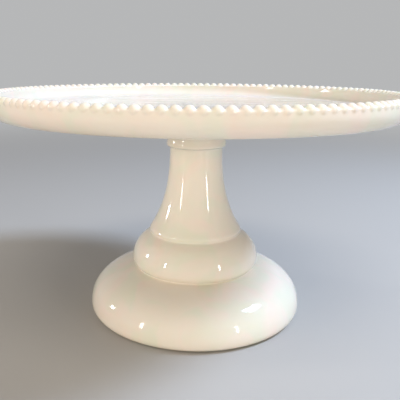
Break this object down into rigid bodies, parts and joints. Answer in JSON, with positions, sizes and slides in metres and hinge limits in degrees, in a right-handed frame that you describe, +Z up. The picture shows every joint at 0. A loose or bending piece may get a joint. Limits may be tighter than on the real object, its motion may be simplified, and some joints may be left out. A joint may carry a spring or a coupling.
{
  "type": "cake stand",
  "caption": "Footed round cake plate with a beaded, turned-up rim on a hollow bell-shaped pedestal, in glossy opaque ivory-white pressed glass.",
  "frame": {"origin": "centre of the resting ring, on the table under the stem's axis", "axes": "+Z up the stem; the stand is turned about Z, so X and Y point any way across the plate"},
  "size_m": [0.254, 0.254, 0.145],
  "materials": {
    "milk_glass": "glossy fire-polished opaque milk glass, ivory white"
  },
  "bodies": {
    "root": {"plate": "milk_glass", "joint_wafer": "milk_glass", "pedestal": "milk_glass"}
  },
  "joints": []
}
